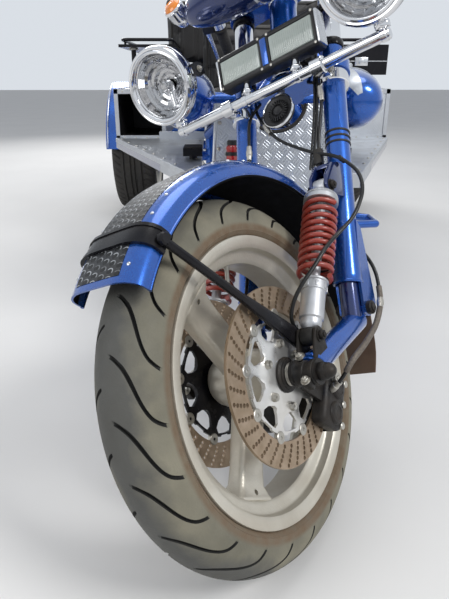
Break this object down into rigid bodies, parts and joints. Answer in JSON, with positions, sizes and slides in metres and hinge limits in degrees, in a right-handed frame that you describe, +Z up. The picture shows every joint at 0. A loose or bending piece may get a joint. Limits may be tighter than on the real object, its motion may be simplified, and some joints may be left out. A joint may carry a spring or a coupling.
{
  "type": "motorized trike",
  "caption": "Home-built three-wheeled motorcycle: leading-link fork with a steered front wheel, wide rear wheels, tread-plate floor and seats.",
  "frame": {"origin": "on the ground, below the middle of the length and of the width", "axes": "+Z up, -Y the front, +X the rider's left"},
  "size_m": [1.426, 3.2377, 1.2012],
  "materials": {
    "blue_paint": "metallic gloss",
    "black_paint": "satin",
    "dark_blue_paint": "gloss",
    "chrome": "polished",
    "steel": "machined",
    "shock_steel": "satin",
    "spring_red": "gloss",
    "tread_plate": "raised bar pattern",
    "cast_alloy": "satin cast",
    "tyre_rubber": "worn",
    "rubber": "matt",
    "lamp_black": "satin",
    "leather": "soft sheen",
    "engine_grey": "cast",
    "lamp_red": "clear red",
    "plate_white": "blank"
  },
  "bodies": {
    "root": {"backrest": "leather", "bulkhead": "tread_plate", "engine_block": "engine_grey", "exhausts": "chrome", "floorboards": "tread_plate", "foot_pegs": "blue_paint", "frame": "blue_paint", "number_plate": "plate_white", "passenger_seat": "leather", "pedals": "black_paint", "racks": "black_paint", "rear_axle": "black_paint", "rear_body": "blue_paint", "rear_fenders": "blue_paint", "rider_backrest": "leather", "rider_seat": "leather", "seat_pans": "black_paint", "side_boxes": "tread_plate", "side_case": "black_paint", "tail_lamps": "lamp_red", "tanks": "blue_paint"},
    "fork": {"fork_legs": "blue_paint", "fork_yokes": "blue_paint", "links": "blue_paint", "shocks": "shock_steel", "springs": "spring_red", "front_axle": "steel", "calipers": "black_paint", "front_fender": "blue_paint", "fender_stays": "black_paint", "light_bar": "chrome", "headlamps": "chrome", "twin_lamp": "lamp_black", "dash_pod": "dark_blue_paint", "handlebar": "chrome", "grips": "rubber", "turn_signals": "chrome", "horn": "lamp_black", "brake_hoses": "rubber", "fender_flap": "rubber"},
    "front_wheel": {"front_tyre": "tyre_rubber", "front_rim": "cast_alloy", "brake_discs": "steel"},
    "rear_wheel_left": {"rear_tyre_left": "tyre_rubber", "rear_rim_left": "cast_alloy"},
    "rear_wheel_right": {"rear_tyre_right": "tyre_rubber", "rear_rim_right": "cast_alloy"}
  },
  "joints": [
    {"name": "steering", "type": "hinge", "parent": "root", "child": "fork", "pos_m": [0, -1.40428, 0], "axis": [0, 0.5906, 0.807], "range_deg": [0, 80.7]},
    {"name": "front_wheel_spin", "type": "hinge", "parent": "fork", "child": "front_wheel", "pos_m": [-0.10541, -1.35282, 0.28038], "axis": [0.7621, -0.5225, 0.3824], "continuous": true},
    {"name": "rear_wheel_left_spin", "type": "hinge", "parent": "root", "child": "rear_wheel_left", "pos_m": [0.583, 1.24572, 0.33], "axis": [1, 0, 0], "continuous": true},
    {"name": "rear_wheel_right_spin", "type": "hinge", "parent": "root", "child": "rear_wheel_right", "pos_m": [-0.583, 1.24572, 0.33], "axis": [1, 0, 0], "continuous": true}
  ]
}
